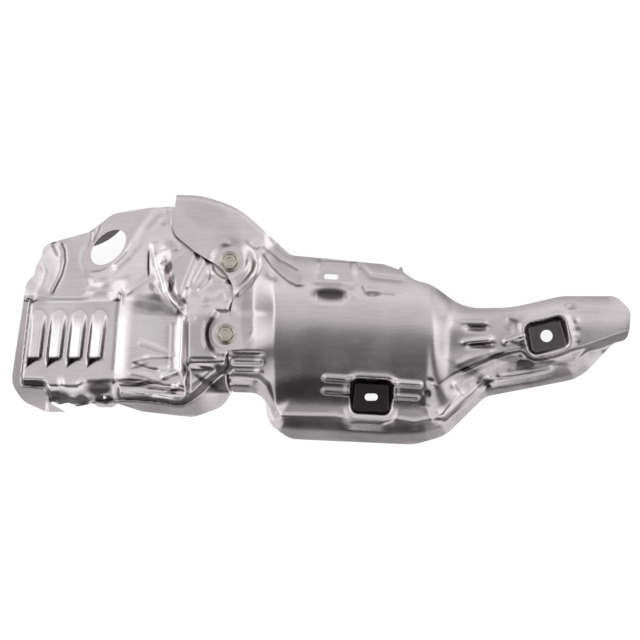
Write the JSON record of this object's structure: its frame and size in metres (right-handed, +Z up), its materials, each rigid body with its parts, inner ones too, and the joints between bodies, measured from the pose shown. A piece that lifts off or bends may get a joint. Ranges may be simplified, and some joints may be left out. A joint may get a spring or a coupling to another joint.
{
  "type": "exhaust heat shield",
  "caption": "Two lapped pressed sheet-steel covers bolted into one exhaust heat shield, with louvres, barrel form, tapering snout, stiffening beads and slotted fixing pads.",
  "frame": {"origin": "centre of the part's bounding box, on the floor plane that the lower rims lie on", "axes": "+X along the exhaust pipe from the louvred end to the snout, +Y across it away from the long rim, +Z up through the crown of the pressing"},
  "size_m": [0.4677, 0.1883, 0.042],
  "materials": {
    "aluminised_steel": "rolled aluminised sheet steel, glossy grey with a fine grain, scratched and crumpled",
    "inner_sheet": "dull dark grey inner sheet",
    "zinc_plate": "yellowish zinc plate, slightly dull"
  },
  "bodies": {
    "root": {"turbo_cover": "aluminised_steel", "converter_cover": "aluminised_steel", "hole_doubler": "inner_sheet", "flange_bolt_upper": "zinc_plate", "flange_bolt_lower": "zinc_plate", "flange_nut_upper": "zinc_plate", "flange_nut_lower": "zinc_plate"}
  },
  "joints": []
}
